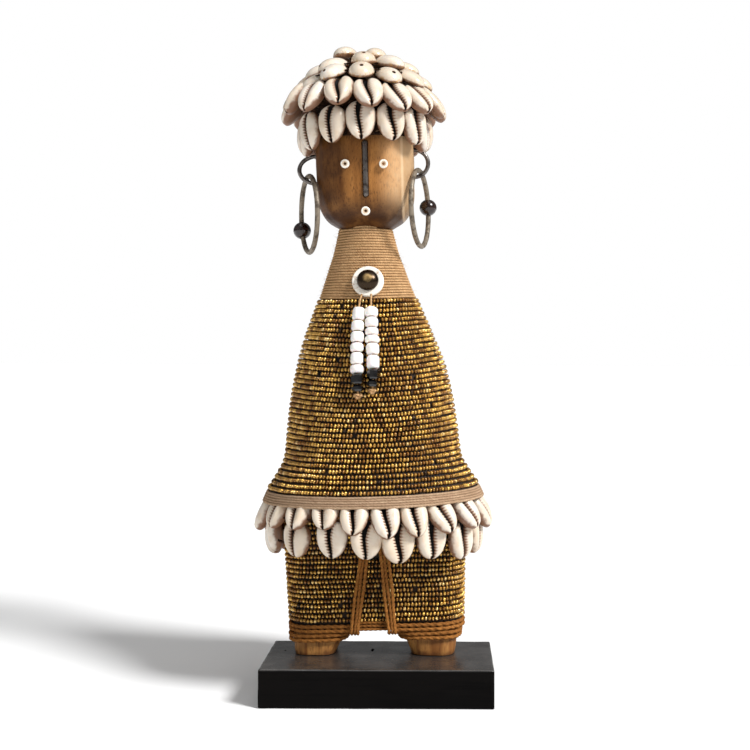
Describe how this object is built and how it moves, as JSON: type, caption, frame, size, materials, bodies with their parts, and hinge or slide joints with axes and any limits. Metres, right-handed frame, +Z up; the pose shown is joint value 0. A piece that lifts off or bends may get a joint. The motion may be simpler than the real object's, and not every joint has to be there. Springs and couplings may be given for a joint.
{
  "type": "namji doll on a plinth",
  "caption": "Carved wooden namji doll with beaded body, twine windings, cowrie shell hair and hem, hoop earrings and bead pendant, on a black wooden plinth.",
  "frame": {"origin": "centre of the plinth's flat underside", "axes": "+Z up, -Y the way the face looks, +X the viewer's right"},
  "size_m": [0.1152, 0.1058, 0.3042],
  "materials": {
    "plinth_wood": "black stain, satin",
    "figure_wood": "brown stain, worn, satin",
    "fine_twine": "natural jute",
    "brown_twine": "brown jute",
    "seed_beads": "metallic gold-bronze lining, opaque",
    "cowrie_shell": "natural polished shell",
    "cap_fibre": "dark matted fibre",
    "dark_steel": "dark, slightly worn",
    "hoop_metal": "grey, weathered",
    "hoop_bead_wood": "dark stain, polished",
    "aged_brass": "domed, dark patina",
    "white_bone": "matte, with fine cracks",
    "white_glass": "matte opaque white",
    "black_glass": "glossy opaque black"
  },
  "bodies": {
    "root": {"plinth": "plinth_wood", "carved_figure": "figure_wood", "neck_twine": "fine_twine", "hem_band": "fine_twine", "pendant_cord_left": "fine_twine", "pendant_cord_right": "fine_twine", "cuff_left": "brown_twine", "cuff_right": "brown_twine", "crotch_band": "brown_twine", "strap_left": "brown_twine", "strap_right": "brown_twine", "torso_beads": "seed_beads", "trouser_beads": "seed_beads", "hem_cowries_upper": "cowrie_shell", "hem_cowries_lower": "cowrie_shell", "head_cowries_tier_1": "cowrie_shell", "head_cowries_tier_2": "cowrie_shell", "head_cowries_tier_3": "cowrie_shell", "head_cowries_tier_4": "cowrie_shell", "head_cowries_tier_5": "cowrie_shell", "wig_cap": "cap_fibre", "nose_rod": "dark_steel", "ear_loop_left": "dark_steel", "ear_loop_right": "dark_steel", "hoop_left": "hoop_metal", "hoop_right": "hoop_metal", "hoop_bead_left": "hoop_bead_wood", "hoop_bead_right": "hoop_bead_wood", "medallion_stud": "aged_brass", "medallion_ring": "white_bone", "eye_left": "white_bone", "eye_right": "white_bone", "mouth": "white_bone", "pendant_white_left_1": "white_glass", "pendant_white_left_2": "white_glass", "pendant_white_left_3": "white_glass", "pendant_white_left_4": "white_glass", "pendant_white_left_5": "white_glass", "pendant_white_left_6": "white_glass", "pendant_white_right_1": "white_glass", "pendant_white_right_2": "white_glass", "pendant_white_right_3": "white_glass", "pendant_white_right_4": "white_glass", "pendant_white_right_5": "white_glass", "pendant_white_right_6": "white_glass", "pendant_black_left_1": "black_glass", "pendant_black_left_2": "black_glass", "pendant_black_right_1": "black_glass", "pendant_black_right_2": "black_glass"}
  },
  "joints": []
}
